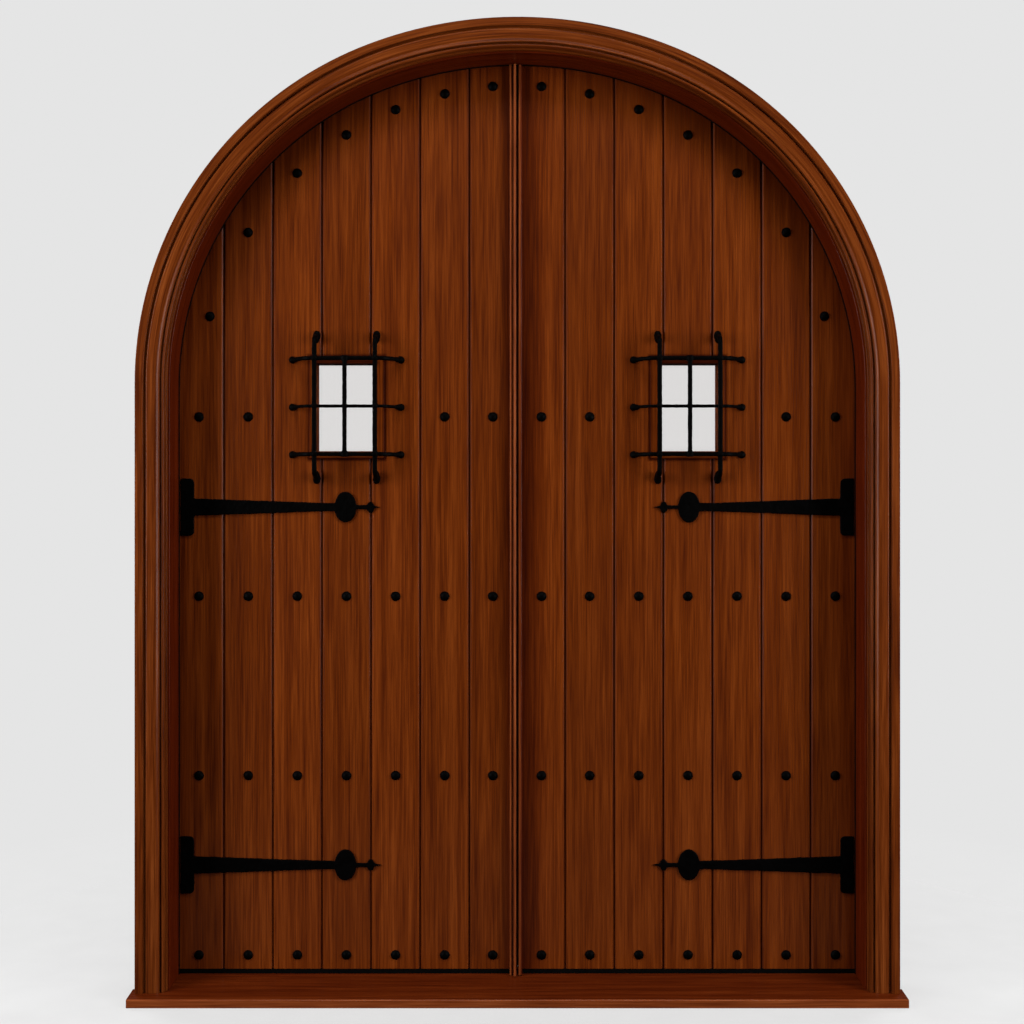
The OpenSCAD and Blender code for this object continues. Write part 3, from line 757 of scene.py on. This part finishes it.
def fused(name, bm, voxel, smooth, dents):
    """One skin round everything in bm, softened and dented, and flat against the boards."""
    mesh = bpy.data.meshes.new(name)
    bmesh.ops.recalc_face_normals(bm, faces=bm.faces)
    bm.to_mesh(mesh)
    bm.free()
    piece = bpy.data.objects.new(name, mesh)
    SCENE.collection.objects.link(piece)
    skin = piece.modifiers.new("skin", "REMESH")
    skin.mode = "VOXEL"
    skin.voxel_size = voxel
    soften = piece.modifiers.new("soften", "SMOOTH")
    soften.factor = 0.5
    soften.iterations = smooth
    graph = bpy.context.evaluated_depsgraph_get()
    final = bpy.data.meshes.new_from_object(piece.evaluated_get(graph))
    piece.modifiers.clear()
    piece.data = final
    bpy.data.meshes.remove(mesh)
    final.name = name
    normals = [v.normal.copy() for v in final.vertices]
    for v, normal in zip(final.vertices, normals):
        push = sum(size * noise.noise(v.co * scale) for scale, size in dents)
        v.co += normal * push
        if v.co.y > LEAF_Y - voxel:
            v.co.y = LEAF_Y
    final.polygons.foreach_set("use_smooth", [True] * len(final.polygons))
    final.update()
    return piece


def stand_in(piece, hand, word, material):
    """Puts piece on its leaf in place of the CAD node called word."""
    piece.data.materials.clear()
    piece.data.materials.append(material)
    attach(piece, f"{hand}_leaf")
    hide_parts(f"{hand}_{word}")


def add_grille_bar(bm, middle, along, foot, run, stand, half):
    """A bar that stands clear of the window and turns back to the leaf at both feet."""
    along = Vector(along)
    out = Vector((0, -1, 0))
    bend = foot - run
    path = [
        -along * foot + out * 0.001, -along * (foot - 0.002) + out * 0.010,
        -along * (bend + 0.004) + out * stand * 0.93, -along * (bend - 0.014) + out * stand,
        along * (bend - 0.014) + out * stand, along * (bend + 0.004) + out * stand * 0.93,
        along * (foot - 0.002) + out * 0.010, along * foot + out * 0.001,
    ]
    add_bar(bm, [middle + p for p in path], along.cross(out), half)


def add_level_bar(bm, at, up):
    """A level bar of the grille with its knobs and necks."""
    half = BAR if up else THIN_BAR
    middle = at + Vector((0, 0, up))
    add_grille_bar(bm, middle, (1, 0, 0), LEVEL_FOOT, LEVEL_RUN, STAND, half)
    for x in (-LEVEL_FOOT, LEVEL_FOOT):
        add_ball(bm, at + Vector((x, -KNOB_OUT, up)), LEVEL_KNOB)
        inward = x - math.copysign(0.0085, x)
        add_ball(bm, at + Vector((inward, -0.0115, up)), LEVEL_NECK)


def add_upright_bar(bm, at, x):
    """An upright bar with its knobs and necks, riveted to each level bar."""
    middle = at + Vector((x, 0, 0))
    add_grille_bar(bm, middle, (0, 0, 1), UPRIGHT_FOOT, UPRIGHT_RUN, UPRIGHT_STAND, UPRIGHT_BAR)
    for z in (-UPRIGHT_FOOT, UPRIGHT_FOOT):
        add_ball(bm, at + Vector((x, -KNOB_OUT, z)), UPRIGHT_KNOB)
        inward = z - math.copysign(0.009, z)
        add_ball(bm, at + Vector((x, -0.014, inward)), UPRIGHT_NECK)
    for z in (-LEVEL_UP, 0, LEVEL_UP):
        front = -UPRIGHT_STAND - UPRIGHT_BAR
        add_ball(bm, at + Vector((x, front + 0.0010, z)), RIVET)


def make_grille(hand, side, material):
    """Three level bars, two uprights over them, and a thin centre bar with a collar at each end."""
    bm = bmesh.new()
    at = Vector((side * WINDOW.x, LEAF_Y, WINDOW.z))
    for up in (-LEVEL_UP, 0, LEVEL_UP):
        add_level_bar(bm, at, up)
    for x in (-UPRIGHT_OUT, UPRIGHT_OUT):
        add_upright_bar(bm, at, x)
    centre = [at + Vector((0, -UPRIGHT_STAND, z)) for z in (-LEVEL_UP, -0.04, 0.04, LEVEL_UP)]
    add_bar(bm, centre, (1, 0, 0), BAR * 1.05)
    for z in (-LEVEL_UP, LEVEL_UP):
        collar = [at + Vector((0, -STAND, z + d)) for d in (-0.007, -0.003, 0.003, 0.007)]
        add_bar(bm, collar, (1, 0, 0), COLLAR_HALF)
    piece = fused(f"{hand}_forged_grille", bm, IRON_VOXEL, 3, GRILLE_DENTS)
    stand_in(piece, hand, "grille", material)


def make_strap(hand, word, material):
    """A flat strap with hammered faces and softened edges, on the outline of its CAD node."""
    bm = bmesh.new()
    bm.from_mesh(NODES[f"{hand}_{word}"].data)
    bmesh.ops.remove_doubles(bm, verts=bm.verts, dist=1e-5)
    piece = fused(f"{hand}_hammered_{word}", bm, STRAP_VOXEL, 2, STRAP_DENTS)
    stand_in(piece, hand, word, material)


def clavo_places(node):
    """The centre of each clavo's head, read off its separate solids."""
    mesh = NODES[node].data
    keys = {}
    ids = [keys.setdefault(tuple(round(c, 5) for c in v.co), len(keys)) for v in mesh.vertices]
    parent = list(range(len(keys)))

    def root(k):
        while parent[k] != k:
            parent[k] = parent[parent[k]]
            k = parent[k]
        return k

    for face in mesh.polygons:
        first = root(ids[face.vertices[0]])
        for v in face.vertices[1:]:
            parent[root(ids[v])] = first
    boxes = {}
    for v, k in zip(mesh.vertices, ids):
        boxes.setdefault(root(k), []).append(v.co)
    places = []
    for points in boxes.values():
        xs, zs = [p.x for p in points], [p.z for p in points]
        places.append(((min(xs) + max(xs)) / 2, (min(zs) + max(zs)) / 2))
    return sorted((round(x, 5), round(z, 5)) for x, z in places)


CLAVO_R = 0.0131
CLAVO_H = 0.0080
CLAVO_SIDES = 28
# shares of the radius and height, from near the top down to the board
CLAVO_PROFILE = [
    (0.24, 0.965), (0.46, 0.86), (0.66, 0.68), (0.83, 0.44), (0.95, 0.20), (1.0, 0.06), (1.0, 0.0),
]


def make_clavos(hand, material):
    """Round nail heads, each raised and faceted by a few hammer blows."""
    draw = random.Random(f"{hand} clavos")
    mesh = bpy.data.meshes.new(f"{hand}_forged_clavos")
    bm = bmesh.new()
    for x, z in clavo_places(f"{hand}_clavos"):
        blows = [draw.uniform(0, 2 * math.pi) for _ in range(5)]
        start = draw.uniform(0, 2 * math.pi)
        top = bm.verts.new((x, LEAF_Y - CLAVO_H, z))
        rings = []
        for r, h in CLAVO_PROFILE:
            ring = []
            for k in range(CLAVO_SIDES):
                turn = start + 2 * math.pi * k / CLAVO_SIDES
                flat = sum(max(0.0, math.cos(turn - b)) ** 6 for b in blows)
                dx, dz = math.cos(turn), math.sin(turn)
                wide = CLAVO_R * r * (1 - 0.020 * flat * r)
                high = CLAVO_H * h * (1 - 0.14 * flat * (1 - h))
                ring.append(bm.verts.new((x + wide * dx, LEAF_Y - high, z + wide * dz)))
            rings.append(ring)
        for k in range(CLAVO_SIDES):
            bm.faces.new((top, rings[0][(k + 1) % CLAVO_SIDES], rings[0][k]))
        for low, high in zip(rings, rings[1:]):
            for k in range(CLAVO_SIDES):
                n = (k + 1) % CLAVO_SIDES
                bm.faces.new((low[k], low[n], high[n], high[k]))
        bm.faces.new(rings[-1])
    bmesh.ops.recalc_face_normals(bm, faces=bm.faces)
    bm.to_mesh(mesh)
    bm.free()
    mesh.polygons.foreach_set("use_smooth", [len(f.vertices) < 5 for f in mesh.polygons])
    piece = bpy.data.objects.new(mesh.name, mesh)
    SCENE.collection.objects.link(piece)
    stand_in(piece, hand, "clavos", material)


# ---------------------------------------------------------------- brush seal between the leaves


BRUSH_Y = {"left": LEAF_Y + 0.020, "right": LEAF_Y + 0.029}
BRUSH_ROWS = 620
# how far the pile stops short of the other leaf, at least, and by how much more at most
TIP_SHORT = 0.00012
TIP_RAGGED = 0.00035
TUFT_UNDER = 0.0012
TIP_HALF = 0.0012
# one side of the brush's holder: how far inside the leaf's edge, and half its width there
BRUSH_HOLDER = [(0.0002, 0.0034), (-0.0008, 0.0032), (-0.0011, 0.0020)]


def add_block(bm, low, high):
    made = bmesh.ops.create_cube(bm, size=1.0)
    for v in made["verts"]:
        v.co = Vector([a + (b - a) * (c + 0.5) for a, b, c in zip(low, high, v.co)])


def add_foot_tufts(bm):
    """Pile that closes the gap between the two sweeps, and the space behind it."""
    foot, top = SILL_TOP + TUFT_UNDER, FOOT_Z - 0.0002
    left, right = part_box("left_sweep")[1].x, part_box("right_sweep")[0].x
    add_block(bm, (left, LEAF_Y + 0.001, foot), (right - 0.0002, LEAF_Y + 0.013, top))
    add_block(bm, (left - 0.003, LEAF_Y + 0.0134, foot), (right + 0.001, LEAF_Y + 0.025, top))


def make_meeting_brush(hand, side, material):
    """A strip of brown pile that stops just short of the other leaf."""
    edge = LEAF_LOW.x
    low, high = LEAF_LOW.z + 0.001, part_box(f"{hand}_board_1")[1].z - 0.004
    middle = BRUSH_Y[hand]
    rows = []
    bm = bmesh.new()
    for k in range(BRUSH_ROWS + 1):
        z = low + (high - low) * k / BRUSH_ROWS
        tip = TIP_SHORT + TIP_RAGGED * (0.5 + 0.5 * noise.noise(Vector((side * 5, 0, z * 900))))
        tip -= edge
        wave = 0.0004 * noise.noise(Vector((3, side, z * 160)))
        shape = [(edge + px, -py) for px, py in BRUSH_HOLDER]
        shape += [(tip, wave - TIP_HALF), (tip, wave + TIP_HALF)]
        shape += [(edge + px, py) for px, py in reversed(BRUSH_HOLDER)]
        rows.append([bm.verts.new((side * px, middle + py, z)) for px, py in shape])
    for a, b in zip(rows, rows[1:]):
        for k in range(len(a)):
            n = (k + 1) % len(a)
            bm.faces.new((a[k], a[n], b[n], b[k]))
    bm.faces.new(rows[0][::-1])
    bm.faces.new(rows[-1])
    if hand == "left":
        add_foot_tufts(bm)
    bmesh.ops.recalc_face_normals(bm, faces=bm.faces)
    mesh = bpy.data.meshes.new(f"{hand}_meeting_brush")
    bm.to_mesh(mesh)
    bm.free()
    mesh.materials.append(material)
    piece = bpy.data.objects.new(mesh.name, mesh)
    SCENE.collection.objects.link(piece)
    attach(piece, f"{hand}_leaf")


make_camera()
make_lights()
make_world()
make_floor()
black_iron, brown_pile = make_finishes()
for hand, side in SIDES.items():
    make_grille(hand, side, black_iron)
    make_strap(hand, "strap_low", black_iron)
    make_strap(hand, "strap_high", black_iron)
    make_clavos(hand, black_iron)
    make_meeting_brush(hand, side, brown_pile)

SCENE.view_settings.view_transform = "Standard"
SCENE.view_settings.look = "None"
